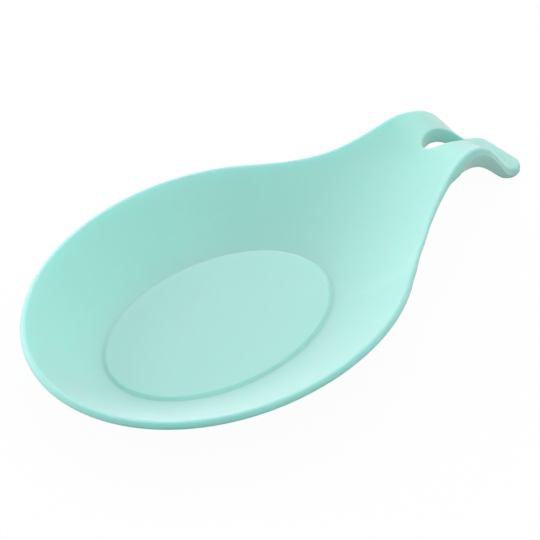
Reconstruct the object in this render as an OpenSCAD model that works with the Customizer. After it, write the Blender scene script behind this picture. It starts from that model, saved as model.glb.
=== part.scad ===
// Spoon rest moulded in one piece: an egg-shaped bowl with a raised oval floor, a narrowing
// neck, and a thick hooked handle with an oval hanging hole. Millimetres, +Z up, the handle
// points along +X. The moulding is drawn as zones that meet face to face.

/* [Floor] */
// Length of the raised oval on the floor
pad_length = 84; // [74:1:94]
// Width of the raised oval on the floor
pad_width = 55; // [48:1:62]
// Height of the raised oval above the floor round it
pad_raise = 0.9; // [0.4:0.1:1.4]
// Width of the soft slope round the raised oval
pad_slope = 1.4; // [1:0.1:2.4]

/* [Bowl] */
// Thickness of the bowl's wall and floor
wall = 2.7; // [2.2:0.1:3.2]
// Level run of the wall from the oval to the rim, at the front end
front_run = 23.2; // [19:0.2:27]
// Level run of the wall from the oval to the rim, at the sides
side_run = 25.4; // [22:0.1:29]
// Height of the rim at the front end
front_height = 18.4; // [16:0.2:20]
// Height of the rim where the handle begins
side_height = 20.5; // [19:0.1:22.5]
// Steepness of the wall where it leaves the floor, in degrees
foot_angle = 24; // [18:1:30]
// Steepness of the wall at the rim, in degrees
rim_angle = 38; // [34:1:42]
// Radius that softens the free edges
edge_radius = 0.8; // [0.5:0.1:1]

/* [Handle] */
// Level length of the neck, from the bowl's rim to the top of the hook
neck_length = 47.9; // [42:0.1:56]
// Level length of the hook, from its top to the end of the handle
hook_length = 38.7; // [34:0.1:46]
// Width of the handle at the top of the hook
crest_width = 31.8; // [28:0.2:36]
// Width of the handle near its end
tip_width = 23.8; // [18:0.2:27]
// Height of the handle's edges at the top of the hook
crest_height = 30.5; // [28:0.1:34]
// How far the middle of the handle is dished below its edges
crest_dish = 2.6; // [1.5:0.1:3.4]
// Thickness of the handle's end, which rests on the table
tip_height = 4.8; // [4.2:0.1:5.8]
// Upright thickness at the neck
neck_thickness = 3.4; // [2.8:0.1:4]
// Upright thickness in the middle of the hook's top
hook_thickness = 7; // [6:0.1:7.8]
// Height of the band along the hook's sides, from the upper edge down to the moulding line
side_band = 2.9; // [2.4:0.1:3.6]
// Outward lean of the band, down to the moulding line, in degrees
band_lean = 8; // [4:1:12]
// Inward lean of the hook's sides below the moulding line, in degrees
side_lean = 17; // [10:1:22]
// Radius of the end's corners, seen from above
corner_radius = 6; // [3:0.2:8]

/* [Hanging hole] */
// Length of the hanging hole, seen from above
hole_length = 21.4; // [16:0.2:23]
// Width of the hanging hole
hole_width = 9.2; // [7:0.2:11]
// Distance from the top of the hook to the middle of the hole
hole_offset = 6.8; // [5.8:0.1:8]

/* [Hidden] */
silicone = "#a6e3d6";

// Steps of the mesh: rays round half the bowl, rays in half the neck's opening, points up a wall
bowl_rays = 44;
corner_rays = 6;
mouth_rays = 10;
wall_points = 12;
across_points = mouth_rays * 2;
neck_steps = 9;
tip_steps = 12;
end_steps = 5;
hook_side_rays = 26;
hook_end_rays = 10;
hook_points = 7;

// Angles round the oval, from the handle's side, where the rim leaves the bowl and where the neck starts
bowl_end_angle = 40;
mouth_angle = 26;
// Angle round the hanging hole, from the tip's side, of the ray that ends on the corner of its zone
hook_corner_angle = 40;
half_turn = 180;
quarter_turn = 90;
// How far the middle of a rounded edge stands back from the sharp corner, as a share of its radius
soft_share = 1 - cos(quarter_turn / 2);

// Half sizes of the oval and of the line where the wall leaves the floor
pad_a = pad_length / 2;
pad_b = pad_width / 2;
foot_a = pad_a + pad_slope / 2;
foot_b = pad_b + pad_slope / 2;
crown_a = pad_a - pad_slope / 2;
crown_b = pad_b - pad_slope / 2;

// How the wall's run and the rim's height change from the front to the sides
run_power = 4.5;
height_power = 2.7;

function mix(a, b, share) = a + (b - a) * share;
function ease(share) = let (s = min(1, max(0, share))) s * s * (3 - 2 * s);
function lift(point, z) = [point[0], point[1], z];

// Outward direction of the oval's edge at an angle, and points of an oval
function oval(a, b, angle) = [a * cos(angle), b * sin(angle)];
function outward(angle) = let (n = [cos(angle) / pad_a, sin(angle) / pad_b]) n / norm(n);
// How near a ray points to the front end of the bowl: 0 towards the handle, 1 at the front
function frontness(angle) = (1 - cos(angle)) / 2;
function run_at(angle) = mix(side_run, front_run, pow(frontness(angle), run_power));
function rim_height_at(angle) = mix(side_height, front_height, pow(frontness(angle), height_power));
function bowl_rim(angle) = oval(pad_a, pad_b, angle) + outward(angle) * run_at(angle);

bowl_end = bowl_rim(bowl_end_angle);

// Places along the handle, from the middle of the oval: where the neck's zone starts, the top of
// the hook, the end of the handle, the middle of the hanging hole and the limits of its zone. The
// shares are of the neck's length and of the hole's length
mouth_share = 0.29;
neckward_share = 0.84;
tipward_share = 0.7;
crest_reach = bowl_end[0] + neck_length;
tip_reach = crest_reach + hook_length;
neck_reach = mix(bowl_end[0], crest_reach, mouth_share);
hole_x = crest_reach + hole_offset;
hook_start = hole_x - hole_length * neckward_share;
hook_end = hole_x + hole_length * tipward_share;

// The moulding is centred on its overall length, whose front end is on the rim's rounded edge
edge_soft = edge_radius * soft_share;
front_reach = pad_a + front_run + (wall - edge_soft) * sin(rim_angle) - edge_soft * cos(rim_angle);
middle_x = (tip_reach - front_reach) / 2;

// Stations of the neck, from the bowl's rim to the top of the hook. Shares of: the way along, the
// flare of the width, the rise of the edges, the rise of the middle, the thickening, the hook's build
neck_shares = [
    [0, 1, 0, 0.095, 0, 0],
    [0.29, 0.639, -0.02, 0.36, 0, 0],
    [0.5, 0.372, 0.2, 0.57, 0, 0],
    [0.67, 0.207, 0.51, 0.74, 0.06, 0],
    [0.82, 0.09, 0.82, 0.88, 0.25, 0.2],
    [0.92, 0.04, 0.97, 0.965, 0.46, 0.55],
    [1, 0, 1, 1, 0.94, 0.98]
];
// Stations of the hook, from its top to the end. Shares of: the way along, the taper of the width,
// the drop of the edges, the drop of the middle, the thinning, the hook's build. At 0 the underside
// runs along with the upper face and the side is upright, at 1 the underside is flat across and the
// side has its two leaning faces, and above 1 the underside is hollowed a little as well
hook_shares = [
    [0.1, 0.19, 0.02, 0.013, 0.17, 1.36],
    [0.2, 0.29, 0.065, 0.07, 0.32, 1.36],
    [0.29, 0.37, 0.14, 0.15, 0.39, 1.36],
    [0.38, 0.46, 0.245, 0.265, 0.41, 1.32],
    [0.48, 0.62, 0.413, 0.433, 0.5, 1.3],
    [0.59, 0.8, 0.62, 0.64, 0.68, 1.3],
    [0.68, 0.93, 0.785, 0.805, 0.86, 1.3],
    [0.76, 1, 0.9, 0.91, 0.95, 1.1],
    [0.85, 1, 0.962, 0.967, 1, 0.6],
    [1, 1, 1, 1, 1, 0]
];
stations = concat(
    [for (s = neck_shares) [
        mix(bowl_end[0], crest_reach, s[0]),
        mix(crest_width / 2, bowl_end[1], s[1]),
        mix(side_height, crest_height, s[2]),
        mix(wall, crest_height - crest_dish, s[3]),
        mix(neck_thickness, hook_thickness, s[4]),
        s[5]
    ]],
    [for (s = hook_shares) [
        mix(crest_reach, tip_reach, s[0]),
        mix(crest_width, tip_width, s[1]) / 2,
        mix(crest_height, tip_height, s[2]),
        mix(crest_height - crest_dish, tip_height, s[3]),
        mix(hook_thickness, tip_height, s[4]),
        s[5]
    ]]
);

// Smooth curve through the stations: the row of values at a place x along the handle
function row_at(i) = stations[max(0, min(len(stations) - 1, i))];
function rate_at(i) = (row_at(i + 1) - row_at(i - 1)) / (row_at(i + 1)[0] - row_at(i - 1)[0]);
function span_of(x, i = 0) = i >= len(stations) - 2 || x < stations[i + 1][0] ? i : span_of(x, i + 1);
function station(x) = let (
        i = span_of(x),
        gap = row_at(i + 1)[0] - row_at(i)[0],
        s = (x - row_at(i)[0]) / gap,
        a = row_at(i),
        b = row_at(i + 1)
    )
    a * (1 + 2 * s) * pow(1 - s, 2) + b * (3 - 2 * s) * s * s
    + rate_at(i) * gap * s * pow(1 - s, 2) - rate_at(i + 1) * gap * s * s * (1 - s);

// Upper and lower height of the handle at a place, st being the station's row
function top_z(st, y) = mix(st[3], st[2], pow(y / st[1], 2));
function under_z(st, y) = mix(top_z(st, y), st[3], st[5]) - st[4];

// Side of the handle from the upper face to the lower one, as [out, height] pairs. The shares keep
// its rounding and the moulding line within the thickness, and round the side more towards the end
edge_points = 5;
rounding_share = 0.42;
margin_share = 0.2;
nose_share = 0.4;
round_share = 0.72;
round_start = mix(crest_reach, tip_reach, round_share);
function edge_round(st) =
    mix(edge_radius, tip_height * nose_share, ease((st[0] - round_start) / (tip_reach - round_start)));
function side_profile(st, inset = 0) = let (
        w = st[1] - inset,
        top = top_z(st, st[1]) - inset,
        low = under_z(st, st[1]) + inset,
        r = min(edge_round(st), (top - low) * rounding_share),
        soft = r * soft_share,
        build = min(1, st[5]),
        band = mix(top - low, side_band, build),
        margin = (top - low - 2 * r) * margin_share,
        line = min(top - r - margin, max(low + r + margin, top - band)),
        out = w + (top - r - line) * tan(band_lean) * build,
        inner = out - max(0, top - low - band) * tan(side_lean)
    ) [
        [w - soft, top - soft],
        [w, top - r],
        [out, line],
        [inner, low + r],
        [inner - soft, low + soft]
    ];
function side_start(st, inset = 0) =
    st[1] - inset - min(edge_round(st), (top_z(st, st[1]) - under_z(st, st[1]) - 2 * inset) * rounding_share);
function side_finish(st, inset = 0) = let (p = side_profile(st, inset), last = edge_points - 1)
    p[last][0] - (p[last - 1][0] - p[last][0]) / soft_share * (1 - soft_share);

// Height of a bowl wall along a ray: from the floor to the far end, each with its own steepness
function wall_z(z0, z1, rate0, rate1, run, s) =
    z0 * (1 + 2 * s) * pow(1 - s, 2) + z1 * (3 - 2 * s) * s * s
    + rate0 * run * s * pow(1 - s, 2) - rate1 * run * s * s * (1 - s);
function wall_rate(z0, z1, rate0, rate1, run, s) =
    6 * (z1 - z0) / run * s * (1 - s)
    + rate0 * (1 - s) * (1 - 3 * s) + rate1 * s * (3 * s - 2);

// Steepness of the handle's upper face at a place, along a level direction
probe = 0.01;
function top_rate(x, y, dir) = let (
        d = probe * wall,
        a = station(x - d * dir[0]),
        b = station(x + d * dir[0])
    )
    (top_z(b, y + d * dir[1]) - top_z(a, y - d * dir[1])) / (2 * d);

// Edge of the bowl's rim, square to the wall and rounded: points from the upper face to the lower
function on_slope(rim, z, dir, p) = let (c = cos(rim_angle), s = sin(rim_angle))
    lift(rim + dir * (p[0] * c - p[1] * s), z + p[0] * s + p[1] * c);
function rim_edge(rim, z, dir) = let (r = edge_radius, soft = r * soft_share)
    [for (p = [[-soft, -soft], [0, -r], [0, r - wall], [-soft, soft - wall], [-r, -wall]])
        on_slope(rim, z, dir, p)];
// The same points on the side of the handle
function handle_edge(x) = [for (q = side_profile(station(x))) [x, q[0], q[1]]];

// Ray of the bowl's wall at an angle between 0 and 180 degrees: a closed loop of points. It ends on
// the bowl's rim, or past it on the edge of the handle, or on the line where the neck begins
function wall_ray(angle) = let (
        foot = oval(foot_a, foot_b, angle),
        free = angle >= mouth_angle,
        on_handle = free ? ease((bowl_end_angle - angle) / (bowl_end_angle - mouth_angle)) : 1,
        x = mix(neck_reach, bowl_end[0], free ? (angle - mouth_angle) / (bowl_end_angle - mouth_angle) : 0),
        st = station(x),
        rim = angle >= bowl_end_angle ? bowl_rim(angle) : [x, st[1]],
        rim_z = angle >= bowl_end_angle ? rim_height_at(angle) : st[2],
        way = (rim - foot) / norm(rim - foot),
        side_y = side_start(st) * (free ? 1 : angle / mouth_angle),
        end = mix(on_slope(rim, rim_z, way, [-edge_radius, 0]), [x, side_y, top_z(st, side_y)], on_handle),
        level_end = [end[0], end[1]],
        run = norm(level_end - foot),
        dir = (level_end - foot) / run,
        end_rate = mix(tan(rim_angle), on_handle > 0 ? top_rate(x, side_y, dir) : 0, on_handle),
        end_drop = mix(wall / cos(rim_angle), top_z(st, side_y) - under_z(st, side_y), on_handle),
        foot_rate = tan(foot_angle),
        steps = [for (i = [0:wall_points]) i / wall_points],
        upper = [for (s = steps)
            lift(foot + dir * run * s, wall_z(wall, end[2], foot_rate, end_rate, run, s))],
        drops = [for (s = steps) let (
                full_rate = wall_rate(wall, end[2], foot_rate, end_rate, run, s),
                rate = full_rate * ease(s * run / (wall * 2))
            ) mix(wall * sqrt(1 + rate * rate), end_drop, ease(s))],
        lower = [for (i = [0:wall_points]) upper[i] - [0, 0, drops[i]]],
        rim_points = rim_edge(rim, rim_z, way),
        handle_points = handle_edge(x),
        edge = free ? [for (i = [0:edge_points - 1]) mix(rim_points[i], handle_points[i], on_handle)]
            : plain_edge(upper[wall_points], lower[wall_points])
    )
    concat(upper, edge, [for (i = [wall_points:-1:0]) lower[i]]);

// Edge points where two zones meet inside the moulding: evenly spaced on a straight line
function plain_edge(high, low) = [for (i = [1:edge_points]) mix(high, low, i / (edge_points + 1))];

function mirrored(loop) = [for (p = loop) [p[0], -p[1], p[2]]];
function centred(loop) = [for (p = loop) [p[0] - middle_x, p[1], p[2]]];

// Solid that joins closed loops of points in turn, all with the same number of points. An open row
// of loops is closed at both ends by strips between the upper and lower halves of the loop, which
// meet at the middle point of each side
module skin(loops, closed = false) {
    count = len(loops);
    size = len(loops[0]);
    half = size / 2;
    side_middle = (edge_points + 1) / 2;
    start = size - side_middle;
    joins = closed ? count - 1 : count - 2;
    points = [for (loop = loops) for (p = centred(loop)) p];
    sides = [for (k = [0:joins], m = [0:size - 1]) let (
            n = (k + 1) % count,
            q = (m + 1) % size,
            a = k * size + m,
            b = n * size + m,
            c = n * size + q,
            d = k * size + q
        ) each [[a, b, c], [a, c, d]]];
    caps = closed ? [] : concat(
        [for (m = [start, half - side_middle])
            each [[m - 2, m - 1, m], [m - 2, m, m + 2], [m, m + 1, m + 2]]],
        [for (t = [2:half - side_middle]) let (
                a = (start + t) % size,
                b = (start + t + 1) % size,
                c = start - t - 1,
                d = start - t
            ) each [[a, b, c], [a, c, d]]]
    );
    far_end = (count - 1) * size;
    far_caps = [for (f = caps) [f[2] + far_end, f[1] + far_end, f[0] + far_end]];
    polyhedron(points = points, faces = concat(sides, caps, far_caps));
}

angles = concat(
    [for (i = [0:mouth_rays - 1]) mouth_angle * i / mouth_rays],
    [for (i = [0:corner_rays - 1]) mix(mouth_angle, bowl_end_angle, i / corner_rays)],
    [for (i = [0:bowl_rays]) mix(bowl_end_angle, half_turn, i / bowl_rays)]
);
half_count = len(angles);

// Oval floor: flat underneath, with a raised flat top that has a soft slope round it
module floor_pad() color(silicone) translate([-middle_x, 0, 0]) {
    outline = concat(
        [for (i = [0:half_count - 1]) oval(foot_a, foot_b, angles[i])],
        [for (i = [half_count - 2:-1:1]) oval(foot_a, foot_b, -angles[i])]
    );
    linear_extrude(height = wall) polygon(outline);
    translate([0, 0, wall])
        linear_extrude(height = pad_raise, scale = [crown_a / foot_a, crown_b / foot_b]) polygon(outline);
}

// Wall of the bowl, a closed ring from the floor to the rim and to the neck
module bowl_wall() color(silicone) {
    half = [for (angle = angles) wall_ray(angle)];
    skin(concat(half, [for (i = [half_count - 2:-1:1]) mirrored(half[i])]), closed = true);
}

// Cross-section of the handle at x, as a closed loop. The inset draws it in all round
function handle_loop(x, inset = 0, narrow = 0) = let (
        full = station(x),
        st = [for (i = [0:5]) i == 1 ? full[1] - narrow : full[i]],
        high = side_start(st, inset),
        low = side_finish(st, inset),
        p = side_profile(st, inset)
    )
    concat(
        [for (i = [0:across_points]) let (y = mix(high, -high, i / across_points))
            [x, y, top_z(st, y) - inset]],
        [for (q = p) [x, -q[0], q[1]]],
        [for (i = [0:across_points]) let (y = mix(-low, low, i / across_points))
            [x, y, under_z(st, y) + inset]],
        [for (i = [edge_points - 1:-1:0]) [x, p[i][0], p[i][1]]]
    );

// Neck: the dished strip that rises from the bowl to the hook
module neck() color(silicone)
    skin([for (i = [0:neck_steps]) handle_loop(mix(neck_reach, hook_start, i / neck_steps))]);

// Top of the hook: thick, dished above and flat below, with the hanging hole through it
module hook_crest() color(silicone) {
    corner = hook_corner_angle;
    turns = concat(
        [for (i = [0:hook_end_rays - 1]) mix(-corner, corner, i / hook_end_rays)],
        [for (i = [0:hook_side_rays - 1]) mix(corner, half_turn - corner, i / hook_side_rays)],
        [for (i = [0:hook_end_rays - 1]) mix(half_turn - corner, half_turn + corner, i / hook_end_rays)],
        [for (i = [0:hook_side_rays - 1]) mix(half_turn + corner, half_turn * 2 - corner, i / hook_side_rays)]
    );
    skin([for (turn = turns) hook_ray(turn, corner)], closed = true);
}
function hook_ray(turn, corner) = let (
        hole = [hole_x + hole_length / 2 * cos(turn), hole_width / 2 * sin(turn)],
        out = [cos(turn) / hole_length, sin(turn) / hole_width],
        dir = out / norm(out),
        to_tip = turn <= corner,
        to_left = turn > corner && turn < half_turn - corner,
        to_neck = turn >= half_turn - corner && turn <= half_turn + corner,
        free = !to_tip && !to_neck || turn == -corner || turn == corner
            || turn == half_turn - corner || turn == half_turn + corner,
        side_share = to_left ? (turn - corner) / (half_turn - 2 * corner)
            : (half_turn * 2 - corner - turn) / (half_turn - 2 * corner),
        x = to_tip ? hook_end : to_neck ? hook_start : mix(hook_end, hook_start, side_share),
        across = to_tip ? turn / corner : to_neck ? (half_turn - turn) / corner : to_left ? 1 : -1,
        st = station(x),
        high_y = across * side_start(st),
        low_y = across * side_finish(st),
        r = edge_radius,
        soft = r * soft_share,
        lip = hole + dir * r,
        upper = [for (i = [0:hook_points]) let (q = mix(lip, [x, high_y], i / hook_points))
            lift(q, top_z(station(q[0]), q[1]))],
        lower = [for (i = [hook_points:-1:0]) let (q = mix(lip, [x, low_y], i / hook_points))
            lift(q, under_z(station(q[0]), q[1]))],
        top = upper[0][2],
        low = lower[hook_points][2],
        edge = free ? [for (q = side_profile(st)) [x, across * q[0], q[1]]]
            : plain_edge(upper[hook_points], lower[0]),
        bore = [
            lift(hole + dir * soft, low + soft),
            lift(hole, low + r),
            lift(hole, top - r),
            lift(hole + dir * soft, top - soft)
        ]
    )
    concat(upper, edge, lower, bore);

// End of the handle: it runs down to the table, flattens out and ends in rounded corners
module hook_tip() color(silicone) {
    end_radius = tip_height * nose_share;
    bend = tip_reach - corner_radius;
    body = [for (i = [0:tip_steps]) mix(hook_end, bend, i / tip_steps)];
    turn = [for (i = [1:end_steps * 2]) quarter_turn * i / (end_steps * 2)];
    skin(concat(
        [for (x = body) handle_loop(x)],
        [for (a = turn) let (
                x = bend + corner_radius * sin(a),
                into = max(0, x - (tip_reach - end_radius)),
                inset = end_radius - sqrt(max(0, pow(end_radius, 2) - into * into))
            ) handle_loop(x, inset, max(0, corner_radius * (1 - cos(a)) - inset))]
    ));
}

floor_pad();
bowl_wall();
neck();
hook_crest();
hook_tip();
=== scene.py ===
import bpy
import bmesh
from math import sin, cos, tan, sqrt, pi, radians, hypot
from mathutils import Matrix, Vector


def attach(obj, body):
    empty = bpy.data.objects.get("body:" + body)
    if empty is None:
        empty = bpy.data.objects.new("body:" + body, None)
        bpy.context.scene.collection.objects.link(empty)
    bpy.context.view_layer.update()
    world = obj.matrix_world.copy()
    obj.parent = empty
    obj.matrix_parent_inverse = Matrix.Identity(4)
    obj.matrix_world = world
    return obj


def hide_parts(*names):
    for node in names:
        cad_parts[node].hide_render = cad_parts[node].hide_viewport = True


# Spoon rest: the silicone moulding as one unbroken skin over the CAD zones. The shape is worked
# out in millimetres round the middle of the raised oval, as the CAD is, and each point turns to
# metres round the middle of the part when it is stored.

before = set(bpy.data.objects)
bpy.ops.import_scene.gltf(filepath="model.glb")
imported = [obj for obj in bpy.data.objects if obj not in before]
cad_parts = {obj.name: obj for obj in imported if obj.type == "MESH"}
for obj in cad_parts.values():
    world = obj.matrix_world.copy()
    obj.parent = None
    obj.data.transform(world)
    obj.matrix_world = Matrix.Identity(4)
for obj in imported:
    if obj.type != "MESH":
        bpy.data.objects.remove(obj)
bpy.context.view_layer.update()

# ---------------------------------------------------------------- sizes, as in the CAD source
PAD_A, PAD_B, PAD_RAISE, PAD_SLOPE = 42.0, 27.5, 0.9, 1.4
WALL, FRONT_RUN, SIDE_RUN = 2.7, 23.2, 25.4
FRONT_HEIGHT, SIDE_HEIGHT = 18.4, 20.5
FOOT_RATE, RIM_ANGLE = tan(radians(24)), radians(38)
RUN_POWER, HEIGHT_POWER = 4.5, 2.7
NECK_LENGTH, HOOK_LENGTH, MOUTH_SHARE = 47.9, 38.7, 0.29
CREST_WIDTH, TIP_WIDTH = 31.8, 23.8
CREST_HEIGHT, CREST_DISH, TIP_HEIGHT = 30.5, 2.6, 4.8
NECK_THICK, HOOK_THICK = 3.4, 7.0
SIDE_BAND, BAND_LEAN, SIDE_LEAN = 2.9, tan(radians(8)), tan(radians(17))
CORNER_RADIUS = 6.0
HOLE_LENGTH, HOLE_WIDTH, HOLE_OFFSET = 21.4, 9.2, 6.8
BEFORE_HOLE, AFTER_HOLE, ROUND_SHARE = 0.84, 0.7, 0.72
BOWL_END, MOUTH = 40.0, 26.0    # degrees round the oval from the handle's axis
CAD_EDGE = 0.8

# Rounding of the visible edges. A rounding takes at most ROUND_LIMIT of the handle's side.
TOP_ROUND, LOW_ROUND, HOLE_TOP, HOLE_LOW = 0.95, 0.8, 0.6, 1.3
TIP_ROUND, NOSE, ROUND_LIMIT = 2.0, 2.15, 0.42

# The moulding line: its height, its half width and the ledge under it. Its foot, its crest and
# the room kept over and under it are given in half widths. It fades in with the hook's build,
# from SEAM_FROM over SEAM_SPAN, and with the millimetres of side under it, up to SEAM_ROOM.
SEAM_RISE, SEAM_HALF, SEAM_LEDGE = 0.2, 0.26, 0.04
SEAM_FOOT, SEAM_CREST, SEAM_OVER, SEAM_UNDER = 1.4, 0.5, 3, 2.6
SEAM_FROM, SEAM_SPAN, SEAM_ROOM = 0.04, 0.32, 0.8

# Stations of the handle, as in the CAD source: shares of the way along, width, edge height,
# middle height, thickness, and the hook's build
NECK = [(0, 1, 0, 0.095, 0, 0), (0.29, 0.639, -0.02, 0.36, 0, 0), (0.5, 0.372, 0.2, 0.57, 0, 0),
        (0.67, 0.207, 0.51, 0.74, 0.06, 0), (0.82, 0.09, 0.82, 0.88, 0.25, 0.2),
        (0.92, 0.04, 0.97, 0.965, 0.46, 0.55), (1, 0, 1, 1, 0.94, 0.98)]
HOOK = [(0.1, 0.19, 0.02, 0.013, 0.17, 1.36), (0.2, 0.29, 0.065, 0.07, 0.32, 1.36),
        (0.29, 0.37, 0.14, 0.15, 0.39, 1.36), (0.38, 0.46, 0.245, 0.265, 0.41, 1.32),
        (0.48, 0.62, 0.413, 0.433, 0.5, 1.3), (0.59, 0.8, 0.62, 0.64, 0.68, 1.3),
        (0.68, 0.93, 0.785, 0.805, 0.86, 1.3), (0.76, 1, 0.9, 0.91, 0.95, 1.1),
        (0.85, 1, 0.962, 0.967, 1, 0.6), (1, 1, 1, 1, 1, 0)]

# How finely the skin is divided. The rays round the hole swing SWING degrees to either side of
# the handle's axis to reach the neck and the tip, and their steps grow outwards.
WALL_STEPS, SLOPE_STEPS, NECK_STEPS, TIP_STEPS, END_STEPS = 18, 8, 14, 16, 12
MOUTH_RAYS, CORNER_RAYS, BOWL_RAYS = 12, 8, 60
SIDE_RAYS, HOOK_STEPS, HOOK_GROWTH, SWING = 40, 9, 1.15, 40.0
ACROSS = 2 * MOUTH_RAYS
ARC = [i / 4 for i in range(5)]
PLAIN_SIDE = [i / 8 for i in range(1, 8)]
SEAMED_SIDE = (0.35, 0.7)
BORE_STEPS = (0.2, 0.4, 0.6, 0.8)

# rings of the oval's top and of the underside, as shares of their outlines
TOP_SHARES = (0.04, 0.15, 0.3, 0.46, 0.62, 0.76, 0.88, 0.96)
BASE_SHARES = (1, 0.97, 0.9, 0.75, 0.55, 0.35, 0.15, 0.05)
PAD_MARGIN, SLOPE_SPAN = 1.6, 1.7

PER_MM = 2000                   # steps of the grid on which points that meet become one
RATE_STEP = 0.02                # millimetres to either side, to measure a slope
WELD, SLIVER = 2e-6, 1e-6       # metres


def mix(a, b, t):
    return a + (b - a) * t


def ease(t):
    t = min(1.0, max(0.0, t))
    return t * t * (3 - 2 * t)


def between(p, q, t):
    return tuple(mix(a, b, t) for a, b in zip(p, q))


# ---------------------------------------------------------------- shape of the bowl
def front_share(deg):
    """0 at the handle, 1 at the bowl's far end."""
    return (1 - cos(radians(deg))) / 2


def bowl_rim(deg):
    a = radians(deg)
    nx, ny = cos(a) / PAD_A, sin(a) / PAD_B
    n = hypot(nx, ny)
    run = mix(SIDE_RUN, FRONT_RUN, front_share(deg) ** RUN_POWER)
    return PAD_A * cos(a) + nx / n * run, PAD_B * sin(a) + ny / n * run


def rim_height(deg):
    return mix(SIDE_HEIGHT, FRONT_HEIGHT, front_share(deg) ** HEIGHT_POWER)


END_X, END_Y = bowl_rim(BOWL_END)
CREST_X = END_X + NECK_LENGTH
TIP_X = CREST_X + HOOK_LENGTH
NECK_X = mix(END_X, CREST_X, MOUTH_SHARE)
HOLE_X = CREST_X + HOLE_OFFSET
HOOK_START, HOOK_END = HOLE_X - HOLE_LENGTH * BEFORE_HOLE, HOLE_X + HOLE_LENGTH * AFTER_HOLE
EDGE_SOFT = CAD_EDGE * (1 - cos(pi / 4))
FRONT_REACH = PAD_A + FRONT_RUN + (WALL - EDGE_SOFT) * sin(RIM_ANGLE) - EDGE_SOFT * cos(RIM_ANGLE)
MIDDLE_X = (TIP_X - FRONT_REACH) / 2
ROUND_START = mix(CREST_X, TIP_X, ROUND_SHARE)

# ---------------------------------------------------------------- shape of the handle
ROWS = [(mix(END_X, CREST_X, s[0]), mix(CREST_WIDTH / 2, END_Y, s[1]),
         mix(SIDE_HEIGHT, CREST_HEIGHT, s[2]), mix(WALL, CREST_HEIGHT - CREST_DISH, s[3]),
         mix(NECK_THICK, HOOK_THICK, s[4]), s[5]) for s in NECK]
ROWS += [(mix(CREST_X, TIP_X, s[0]), mix(CREST_WIDTH, TIP_WIDTH, s[1]) / 2,
          mix(CREST_HEIGHT, TIP_HEIGHT, s[2]), mix(CREST_HEIGHT - CREST_DISH, TIP_HEIGHT, s[3]),
          mix(HOOK_THICK, TIP_HEIGHT, s[4]), s[5]) for s in HOOK]


def row_at(i):
    return ROWS[max(0, min(len(ROWS) - 1, i))]


def rate_at(i):
    a, b = row_at(i - 1), row_at(i + 1)
    return [(q - p) / (b[0] - a[0]) for p, q in zip(a, b)]


RATES = [rate_at(i) for i in range(len(ROWS))]


def station(x):
    """(x, half width, edge height, middle height, upright thickness, hook's build) at x."""
    i = 0
    while i < len(ROWS) - 2 and x >= ROWS[i + 1][0]:
        i += 1
    a, b, ra, rb = ROWS[i], ROWS[i + 1], RATES[i], RATES[i + 1]
    gap = b[0] - a[0]
    t = (x - a[0]) / gap
    h = ((1 + 2 * t) * (1 - t) ** 2, (3 - 2 * t) * t * t,
         gap * t * (1 - t) ** 2, gap * t * t * (1 - t))
    return tuple(p * h[0] + q * h[1] + u * h[2] - v * h[3] for p, q, u, v in zip(a, b, ra, rb))


def top_z(st, y):
    return mix(st[3], st[2], (y / st[1]) ** 2)


def under_z(st, y):
    return mix(top_z(st, y), st[3], st[5]) - st[4]


def top_rate(x, y, dx, dy):
    """How steeply the handle's upper face climbs at a place, in one direction."""
    dx, dy = RATE_STEP * dx, RATE_STEP * dy
    return (top_z(station(x + dx), y + dy) - top_z(station(x - dx), y - dy)) / (2 * RATE_STEP)


def band_profile(height, lean, r1, r2, seam=0.0, seam_at=0.0, out_lean=0.0):
    """Edge from the upper face to the lower one, as (inward, down) pairs from the sharp upper
    corner: a rounded top, a band that leans outwards, a fine raised moulding seam, a side that
    leans inwards, a rounded bottom. With no seam it is one plain face."""
    out = [(r1 * (1 - sin(a * pi / 2)), r1 * (1 - cos(a * pi / 2))) for a in ARC]
    low_end = height - r2
    if seam > 0:
        foot, crest = SEAM_HALF * SEAM_FOOT, SEAM_HALF * SEAM_CREST
        wide = -(seam_at - r1) * out_lean
        out += [(wide * 0.5, mix(r1, seam_at, 0.5)), (wide, seam_at - foot),
                (wide - seam, seam_at - crest), (wide - seam, seam_at + crest),
                (wide + SEAM_LEDGE, seam_at + foot)]
        lean += wide
        rest = low_end - (seam_at + foot)
        out += [(mix(wide + SEAM_LEDGE, lean, t), seam_at + foot + rest * t) for t in SEAMED_SIDE]
    else:
        out += [(lean * t, mix(r1, low_end, t)) for t in PLAIN_SIDE]
    out += [(lean + r2 * (1 - cos(a * pi / 2)), low_end + r2 * sin(a * pi / 2)) for a in ARC]
    return out


def side_profile(st, inset=0.0):
    """The side of the handle as (half width, height) pairs, from the upper face to the lower."""
    w = st[1] - inset
    top = top_z(st, st[1]) - inset
    tall = top - (under_z(st, st[1]) + inset)
    near_tip = ease((st[0] - ROUND_START) / (TIP_X - ROUND_START))
    r1 = min(mix(TOP_ROUND, TIP_ROUND, near_tip), tall * ROUND_LIMIT)
    r2 = min(mix(LOW_ROUND, TIP_ROUND, near_tip), tall * ROUND_LIMIT)
    build = min(1.0, st[5])
    band = mix(tall, SIDE_BAND, build)
    lean = max(0.0, tall - band) * SIDE_LEAN
    share = ease((build - SEAM_FROM) / SEAM_SPAN) * ease((tall - band) / SEAM_ROOM)
    plain = seamed = band_profile(tall, lean, r1, r2)
    if share > 0:
        seam_at = min(tall - r2 - SEAM_HALF * SEAM_UNDER, max(r1 + SEAM_HALF * SEAM_OVER, band))
        seamed = band_profile(tall, lean, r1, r2, SEAM_RISE * share, seam_at, BAND_LEAN)
    return [(w - mix(p[0], q[0], share), top - mix(p[1], q[1], share))
            for p, q in zip(plain, seamed)]


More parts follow.
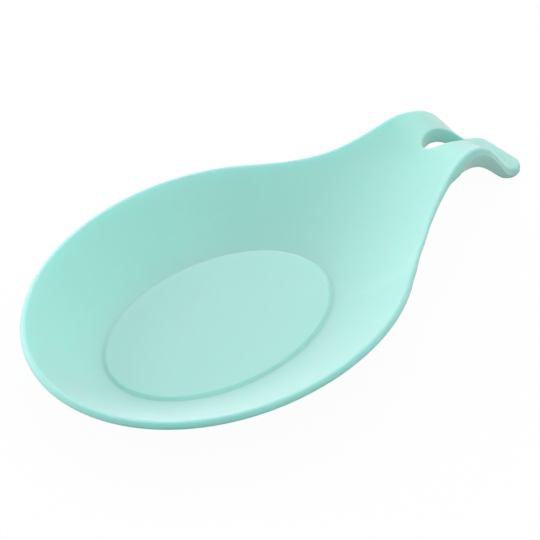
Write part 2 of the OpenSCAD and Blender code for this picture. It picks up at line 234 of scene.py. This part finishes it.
def rim_edge(rim, z, way):
    """The bowl's rim, square to the wall and rounded, as points from the upper face down."""
    out = []
    c, s = cos(RIM_ANGLE), sin(RIM_ANGLE)
    for inward, down in band_profile(WALL, 0, TOP_ROUND, LOW_ROUND):
        p, q = -inward, -down
        reach = p * c - q * s
        out.append((rim[0] + way[0] * reach, rim[1] + way[1] * reach, z + p * s + q * c))
    return out


# ---------------------------------------------------------------- skin
points, faces, index = [], [], {}


def vert(p):
    """The number of a point, which is stored once for all the faces that share it."""
    key = (round(p[0] * PER_MM), round(p[1] * PER_MM), round(p[2] * PER_MM))
    for dx in (0, -1, 1):
        for dy in (0, -1, 1):
            for dz in (0, -1, 1):
                k = (key[0] + dx, key[1] + dy, key[2] + dz)
                if k in index:
                    return index[k]
    index[key] = len(points)
    points.append(((p[0] - MIDDLE_X) / 1000, p[1] / 1000, p[2] / 1000))
    return index[key]


def verts(row):
    return [vert(p) for p in row]


def face(ids):
    out = []
    for v in ids:
        if v not in out:
            out.append(v)
    if len(out) > 2:
        faces.append(out)


def strip(a, b):
    for i in range(len(a) - 1):
        face((a[i], a[i + 1], b[i + 1], b[i]))


def ring_strip(a, b):
    strip(a + a[:1], b + b[:1])


def fan(point, ring):
    for a, b in zip(ring, ring[1:] + ring[:1]):
        face((point, a, b))


def ray(deg):
    """One ray of the bowl at an angle between 0 and 180: its upper points from the foot of the
    wall outwards, its edge from the upper face down, and its lower points from the foot outwards.
    A ray that ends on the line where the neck begins isn't free, and has no edge."""
    a = radians(deg)
    foot = ((PAD_A + PAD_SLOPE / 2) * cos(a), (PAD_B + PAD_SLOPE / 2) * sin(a))
    free = deg >= MOUTH
    share = (deg - MOUTH) / (BOWL_END - MOUTH)
    on_handle = ease(1 - share) if free else 1.0
    x = mix(NECK_X, END_X, min(1.0, share)) if free else NECK_X
    st = station(x)
    bowl = deg >= BOWL_END
    rim = bowl_rim(deg) if bowl else (x, st[1])
    rim_z = rim_height(deg) if bowl else st[2]
    d = hypot(rim[0] - foot[0], rim[1] - foot[1])
    way = ((rim[0] - foot[0]) / d, (rim[1] - foot[1]) / d)
    side_y = (st[1] - TOP_ROUND) * (1 if free else deg / MOUTH)
    rim_points = rim_edge(rim, rim_z, way)
    end = between(rim_points[0], (x, side_y, top_z(st, side_y)), on_handle)
    dx, dy = end[0] - foot[0], end[1] - foot[1]
    run = hypot(dx, dy)
    dx, dy = dx / run, dy / run
    handle_rate = top_rate(x, side_y, dx, dy) if on_handle > 0 else 0
    rate = mix(tan(RIM_ANGLE), handle_rate, on_handle)
    drop = mix(WALL / cos(RIM_ANGLE), top_z(st, side_y) - under_z(st, side_y), on_handle)
    upper, lower = [], []
    for i in range(WALL_STEPS + 1):
        s = i / WALL_STEPS
        z = WALL * (1 + 2 * s) * (1 - s) ** 2 + end[2] * (3 - 2 * s) * s * s \
            + FOOT_RATE * run * s * (1 - s) ** 2 - rate * run * s * s * (1 - s)
        slope = 6 * (end[2] - WALL) / run * s * (1 - s) \
            + FOOT_RATE * (1 - s) * (1 - 3 * s) + rate * s * (3 * s - 2)
        slope *= ease(s * run / (WALL * 2))
        deep = mix(WALL * sqrt(1 + slope * slope), drop, ease(s))
        p = (foot[0] + dx * run * s, foot[1] + dy * run * s, z)
        upper.append(p)
        lower.append((p[0], p[1], z - deep))
    edge = []
    if free:
        handle = [(x, y, z) for y, z in side_profile(st)]
        edge = [between(p, q, on_handle) for p, q in zip(rim_points, handle)]
        upper[-1] = edge[0]
        lower[-1] = edge[-1]
    return upper, edge, lower


def mirrored(row):
    return [(x, -y, z) for x, y, z in row]


angles = [MOUTH * i / MOUTH_RAYS for i in range(MOUTH_RAYS)]
angles += [mix(MOUTH, BOWL_END, i / CORNER_RAYS) for i in range(CORNER_RAYS)]
angles += [mix(BOWL_END, 180, i / BOWL_RAYS) for i in range(BOWL_RAYS + 1)]
half = [(a, ray(a)) for a in angles]
rays = half + [(-a, tuple(mirrored(row) for row in r)) for a, r in half[1:-1]][::-1]


def oval_ring(a, b, z):
    return [vert((a * cos(radians(deg)), b * sin(radians(deg)), z)) for deg, _ in rays]


# the raised oval with its soft slope, the wall's upper and lower faces, the rim, the underside
top_rings = []
crown = PAD_RAISE + WALL
for share in TOP_SHARES:
    top_rings.append(oval_ring((PAD_A - PAD_MARGIN) * share, (PAD_B - PAD_MARGIN) * share, crown))
for k in range(SLOPE_STEPS + 1):
    t = k / SLOPE_STEPS
    out = mix(-SLOPE_SPAN + PAD_SLOPE / 2, PAD_SLOPE / 2, t)
    top_rings.append(oval_ring(PAD_A + out, PAD_B + out, crown - PAD_RAISE * ease(t)))
fan(vert((0, 0, crown)), top_rings[0])
for a, b in zip(top_rings, top_rings[1:]):
    ring_strip(a, b)
for level in (0, 2):
    rows = [verts(r[level]) for _, r in rays]
    for a, b in zip(rows, rows[1:] + rows[:1]):
        strip(a, b)
for (_, r), (_, q) in zip(rays, rays[1:] + rays[:1]):
    if r[1] and q[1]:
        strip(verts(r[1]), verts(q[1]))
base_a, base_b = PAD_A + PAD_SLOPE / 2, PAD_B + PAD_SLOPE / 2
base_rings = [oval_ring(base_a * share, base_b * share, 0) for share in BASE_SHARES]
for a, b in zip(base_rings, base_rings[1:]):
    ring_strip(a, b)
fan(vert((0, 0, 0)), base_rings[-1])


def section_ids(x, inset=0.0, narrow=0.0):
    """A cross-section of the handle: upper points, the two sides' edges, lower points."""
    st = station(x)
    st = (st[0], st[1] - narrow) + st[2:]
    edge = side_profile(st, inset)
    # the lower row starts on the bowl's last points and ends on the hook's first ones
    hi = edge[0][0]
    lo = mix(hi, edge[-1][0], ease((x - NECK_X) / (HOOK_START - NECK_X)))
    places = [1 - 2 * k / ACROSS for k in range(ACROSS + 1)]
    upper = [(x, hi * s, top_z(st, hi * s) - inset) for s in places]
    lower = [(x, lo * s, under_z(st, lo * s) + inset) for s in places]
    edge = [(x, y, z) for y, z in edge]
    upper[0], upper[-1] = edge[0], mirrored(edge)[0]
    lower[0], lower[-1] = edge[-1], mirrored(edge)[-1]
    return verts(upper), verts(edge), verts(mirrored(edge)), verts(lower)


def join(sections):
    for a, b in zip(sections, sections[1:]):
        for p, q in zip(a, b):
            strip(p, q)


join([section_ids(mix(NECK_X, HOOK_START, i / NECK_STEPS)) for i in range(NECK_STEPS + 1)])

# the tip: its sides turn in round the corners and its end is rounded like a nose
bend = TIP_X - CORNER_RADIUS
tip = [section_ids(mix(HOOK_END, bend, i / TIP_STEPS)) for i in range(TIP_STEPS + 1)]
for i in range(1, END_STEPS + 1):
    a = pi / 2 * i / END_STEPS
    x = bend + CORNER_RADIUS * sin(a)
    into = max(0.0, x - (TIP_X - NOSE))
    inset = NOSE - sqrt(max(0.0, NOSE * NOSE - into * into))
    tip.append(section_ids(x, inset, max(0.0, CORNER_RADIUS * (1 - cos(a)) - inset)))
join(tip)
upper, edge, far_edge, lower = tip[-1]
strip(upper, lower)
face(edge + [lower[0], upper[0]])
face(far_edge + [lower[-1], upper[-1]])

# crest of the hook: rays from the hanging hole out to the sides, the neck and the tip
turns = [mix(-SWING, SWING, i / ACROSS) for i in range(ACROSS)]
turns += [mix(SWING, 180 - SWING, i / SIDE_RAYS) for i in range(SIDE_RAYS)]
turns += [mix(180 - SWING, 180 + SWING, i / ACROSS) for i in range(ACROSS)]
turns += [mix(180 + SWING, 360 - SWING, i / SIDE_RAYS) for i in range(SIDE_RAYS)]


def ray_end(n):
    """Where ray n ends: x, and the place across from -1 to 1."""
    if n < ACROSS:
        return HOOK_END, mix(-1, 1, n / ACROSS)
    if n < ACROSS + SIDE_RAYS:
        return mix(HOOK_END, HOOK_START, (n - ACROSS) / SIDE_RAYS), 1
    if n < 2 * ACROSS + SIDE_RAYS:
        return HOOK_START, mix(1, -1, (n - ACROSS - SIDE_RAYS) / ACROSS)
    return mix(HOOK_START, HOOK_END, (n - 2 * ACROSS - SIDE_RAYS) / SIDE_RAYS), -1


def hook_ray(n, turn):
    """One ray round the hole: its upper row, the handle's side where it ends there, its lower
    row, and the wall of the hole."""
    a = radians(turn)
    hole = (HOLE_X + HOLE_LENGTH / 2 * cos(a), HOLE_WIDTH / 2 * sin(a))
    nx, ny = cos(a) / HOLE_LENGTH, sin(a) / HOLE_WIDTH
    d = hypot(nx, ny)
    nx, ny = nx / d, ny / d
    x, across = ray_end(n)
    edge = side_profile(station(x))
    r, low_r = HOLE_TOP, HOLE_LOW
    lip = (hole[0] + nx * r, hole[1] + ny * r)
    low_lip = (hole[0] + nx * low_r, hole[1] + ny * low_r)
    upper, lower = [], []
    for i in range(HOOK_STEPS + 1):
        t = (i / HOOK_STEPS) ** HOOK_GROWTH
        p = between(lip, (x, across * edge[0][0]), t)
        upper.append((p[0], p[1], top_z(station(p[0]), p[1])))
        p = between(low_lip, (x, across * edge[-1][0]), t)
        lower.append((p[0], p[1], under_z(station(p[0]), p[1])))
    side = []
    if abs(across) == 1:
        side = [(x, across * y, z) for y, z in edge]
        upper[-1], lower[-1] = side[0], side[-1]
    bore = []
    slope = (top_z(station(lip[0]), lip[1]) - top_z(station(hole[0]), hole[1])) / r
    top, low = upper[0][2], lower[0][2]
    for t in ARC:
        b = t * pi / 2
        bore.append((hole[0] + nx * r * (1 - sin(b)), hole[1] + ny * r * (1 - sin(b)),
                     top - slope * r * sin(b) * (1 - t) - r * (1 - cos(b))))
    for t in BORE_STEPS:
        bore.append((hole[0], hole[1], mix(top - r, low + low_r, t)))
    for t in ARC:
        b = (1 - t) * pi / 2
        bore.append((hole[0] + nx * low_r * (1 - sin(b)), hole[1] + ny * low_r * (1 - sin(b)),
                     low + low_r * (1 - cos(b))))
    return verts(upper), verts(side), verts(lower), verts(bore)


spokes = [hook_ray(n, turn) for n, turn in enumerate(turns)]
for p, q in zip(spokes, spokes[1:] + spokes[:1]):
    strip(p[0], q[0])
    strip(p[2], q[2])
    strip(p[3], q[3])
    if p[1] and q[1]:
        strip(p[1], q[1])

mesh = bpy.data.meshes.new("spoon_rest_skin")
mesh.from_pydata(points, [], faces)
bm = bmesh.new()
bm.from_mesh(mesh)
bmesh.ops.remove_doubles(bm, verts=bm.verts, dist=WELD)
bmesh.ops.dissolve_degenerate(bm, edges=bm.edges, dist=SLIVER)
bmesh.ops.recalc_face_normals(bm, faces=bm.faces)
open_edges = sum(1 for e in bm.edges if not e.is_manifold)
print("skin:", len(bm.verts), "points,", len(bm.faces), "faces, open edges", open_edges)
bm.to_mesh(mesh)
bm.free()
for p in mesh.polygons:
    p.use_smooth = True
skin = bpy.data.objects.new("spoon_rest_skin", mesh)
bpy.context.scene.collection.objects.link(skin)
sub = skin.modifiers.new("smooth", "SUBSURF")
sub.levels = sub.render_levels = 1

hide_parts("floor_pad", "bowl_wall", "neck", "hook_crest", "hook_tip")
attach(skin, "root")


# ---------------------------------------------------------------- silicone
def node(tree, kind, **values):
    """A new shader node. Each value goes to the input of that name, or else to the setting."""
    n = tree.nodes.new(kind)
    for key, value in values.items():
        if key in n.inputs:
            n.inputs[key].default_value = value
        else:
            setattr(n, key, value)
    return n


MINT = (0.395, 0.775, 0.695)
MINT_LOW, MINT_HIGH = (0.985, 0.99, 0.99), (1.015, 1.01, 1.01)     # shares of it
SATIN_LOW, SATIN_HIGH = 0.42, 0.5

silicone = bpy.data.materials.new("mint_silicone")
silicone.use_nodes = True
tree = silicone.node_tree
bsdf = tree.nodes["Principled BSDF"]
bsdf.inputs["IOR"].default_value = 1.41
bsdf.inputs["Subsurface Weight"].default_value = 0.8
bsdf.inputs["Subsurface Radius"].default_value = (0.3, 1.3, 1.1)
bsdf.inputs["Subsurface Scale"].default_value = 0.006
bsdf.inputs["Sheen Weight"].default_value = 0.6
bsdf.inputs["Sheen Roughness"].default_value = 0.5
place = node(tree, "ShaderNodeTexCoord").outputs["Object"]
# faint unevenness of the colour, a few centimetres across
cloud = node(tree, "ShaderNodeTexNoise", Scale=38.0, Detail=3.0, Roughness=0.55)
tree.links.new(place, cloud.inputs["Vector"])
tint = node(tree, "ShaderNodeMix", data_type="RGBA")
tint.inputs["A"].default_value = tuple(c * s for c, s in zip(MINT, MINT_LOW)) + (1,)
tint.inputs["B"].default_value = tuple(c * s for c, s in zip(MINT, MINT_HIGH)) + (1,)
tree.links.new(cloud.outputs["Fac"], tint.inputs["Factor"])
tree.links.new(tint.outputs["Result"], bsdf.inputs["Base Color"])
# satin patches, and the fine grain of a blasted mould
patches = node(tree, "ShaderNodeTexNoise", Scale=160.0, Detail=4.0, Roughness=0.6)
tree.links.new(place, patches.inputs["Vector"])
gloss = node(tree, "ShaderNodeMapRange")
gloss.inputs["To Min"].default_value = SATIN_LOW
gloss.inputs["To Max"].default_value = SATIN_HIGH
tree.links.new(patches.outputs["Fac"], gloss.inputs["Value"])
tree.links.new(gloss.outputs["Result"], bsdf.inputs["Roughness"])
grain = node(tree, "ShaderNodeTexNoise", Scale=4200.0, Detail=2.0, Roughness=0.5)
tree.links.new(place, grain.inputs["Vector"])
bump = node(tree, "ShaderNodeBump", Strength=0.12, Distance=0.00005)
tree.links.new(grain.outputs["Fac"], bump.inputs["Height"])
tree.links.new(bump.outputs["Normal"], bsdf.inputs["Normal"])
skin.data.materials.append(silicone)

# ---------------------------------------------------------------- floor, light and camera
FLOOR_HALF = 3
WHITE_SHARE = 0.96      # how much of the seen floor is plain white; the rest takes shadow
SEEN_GREY, THROWN_GREY = 0.95, 0.35
AMBIENT = 0.335
WHITE = (1, 1, 1, 1)


def seen_ray(tree, path):
    """1 for a ray from the camera, or one mirrored or let through by a surface; 0 for the rest."""
    last = path.outputs["Is Camera Ray"]
    for name in ("Is Glossy Ray", "Is Transmission Ray"):
        either = node(tree, "ShaderNodeMath", operation="MAXIMUM")
        tree.links.new(last, either.inputs[0])
        tree.links.new(path.outputs[name], either.inputs[1])
        last = either.outputs[0]
    return last


floor_mesh = bpy.data.meshes.new("floor")
corners = [(-FLOOR_HALF, -FLOOR_HALF, 0), (FLOOR_HALF, -FLOOR_HALF, 0),
           (FLOOR_HALF, FLOOR_HALF, 0), (-FLOOR_HALF, FLOOR_HALF, 0)]
floor_mesh.from_pydata(corners, [], [(0, 1, 2, 3)])
floor = bpy.data.objects.new("floor", floor_mesh)
bpy.context.scene.collection.objects.link(floor)
paper = bpy.data.materials.new("white_floor")
paper.use_nodes = True
tree = paper.node_tree
shade = tree.nodes["Principled BSDF"]
shade.inputs["Roughness"].default_value = 0.9
shade.inputs["Specular IOR Level"].default_value = 0.1
glow = node(tree, "ShaderNodeEmission", Color=WHITE, Strength=1.0)
path = node(tree, "ShaderNodeLightPath")
whitened = node(tree, "ShaderNodeMath", operation="MULTIPLY")
whitened.inputs[1].default_value = WHITE_SHARE
tree.links.new(seen_ray(tree, path), whitened.inputs[0])
# the floor is pale where it is seen, and throws back only a little light on the underside
paint = node(tree, "ShaderNodeMix", data_type="RGBA")
paint.inputs["A"].default_value = (THROWN_GREY, THROWN_GREY, THROWN_GREY, 1)
paint.inputs["B"].default_value = (SEEN_GREY, SEEN_GREY, SEEN_GREY, 1)
tree.links.new(path.outputs["Is Camera Ray"], paint.inputs["Factor"])
tree.links.new(paint.outputs["Result"], shade.inputs["Base Color"])
both = node(tree, "ShaderNodeMixShader")
tree.links.new(whitened.outputs[0], both.inputs[0])
tree.links.new(shade.outputs[0], both.inputs[1])
tree.links.new(glow.outputs[0], both.inputs[2])
tree.links.new(both.outputs[0], tree.nodes["Material Output"].inputs["Surface"])
floor.data.materials.append(paper)

# the world lights softly, and is white where it is seen or mirrored
world = bpy.data.worlds.new("studio")
bpy.context.scene.world = world
world.use_nodes = True
tree = world.node_tree
ambient = tree.nodes["Background"]
ambient.inputs["Color"].default_value = WHITE
ambient.inputs["Strength"].default_value = AMBIENT
white = node(tree, "ShaderNodeBackground", Color=WHITE, Strength=1.0)
either = node(tree, "ShaderNodeMixShader")
tree.links.new(seen_ray(tree, node(tree, "ShaderNodeLightPath")), either.inputs[0])
tree.links.new(ambient.outputs[0], either.inputs[1])
tree.links.new(white.outputs[0], either.inputs[2])
tree.links.new(either.outputs[0], tree.nodes["World Output"].inputs["Surface"])


def lamp(name, place, size, power):
    """A soft rectangular lamp that shines on the middle of the part."""
    data = bpy.data.lights.new(name, "AREA")
    data.shape = "RECTANGLE"
    data.size, data.size_y = size
    data.energy = power
    o = bpy.data.objects.new(name, data)
    o.location = place
    o.rotation_euler = (-Vector(place)).to_track_quat("-Z", "Y").to_euler()
    bpy.context.scene.collection.objects.link(o)


lamp("left", (-0.54, 0.69, 0.20), (0.9, 0.4), 5.6)
lamp("back", (0.35, 0.39, 0.73), (1.0, 0.7), 4.0)
lamp("right", (0.74, -0.42, 0.28), (0.9, 0.4), 0.9)
lamp("front", (0.02, -0.58, 0.69), (0.7, 0.7), 2.3)

# The camera stands where the photograph was taken from, as fitted to the part's outline. Its
# place is in millimetres along its own axes, from the middle of the oval, and its focal length
# in pixels of a photograph that is PHOTO_WIDTH pixels wide.
CAM_RIGHT = Vector((0.74664, -0.66524, 0))
CAM_BACK = Vector((-0.49596, -0.55665, 0.66643))
CAM_UP = Vector((0.44330, 0.49755, 0.74558))
CAM_ACROSS, CAM_RAISE, CAM_AWAY = 16.25, 18.92, 550
FOCAL_PIXELS, PHOTO_WIDTH, SENSOR = 1699.06, 540, 36
spot = CAM_RIGHT * CAM_ACROSS + CAM_UP * CAM_RAISE + CAM_BACK * CAM_AWAY
spot = (spot - Vector((MIDDLE_X, 0, 0))) / 1000
cam_data = bpy.data.cameras.new("camera")
cam_data.lens = FOCAL_PIXELS / PHOTO_WIDTH * SENSOR
cam_data.sensor_width = SENSOR
cam_data.clip_start = 0.01
camera = bpy.data.objects.new("camera", cam_data)
turn = Matrix((CAM_RIGHT, CAM_UP, CAM_BACK)).transposed().to_4x4()
camera.matrix_world = Matrix.Translation(spot) @ turn
bpy.context.scene.collection.objects.link(camera)
bpy.context.scene.camera = camera

bpy.context.scene.view_settings.view_transform = "Standard"
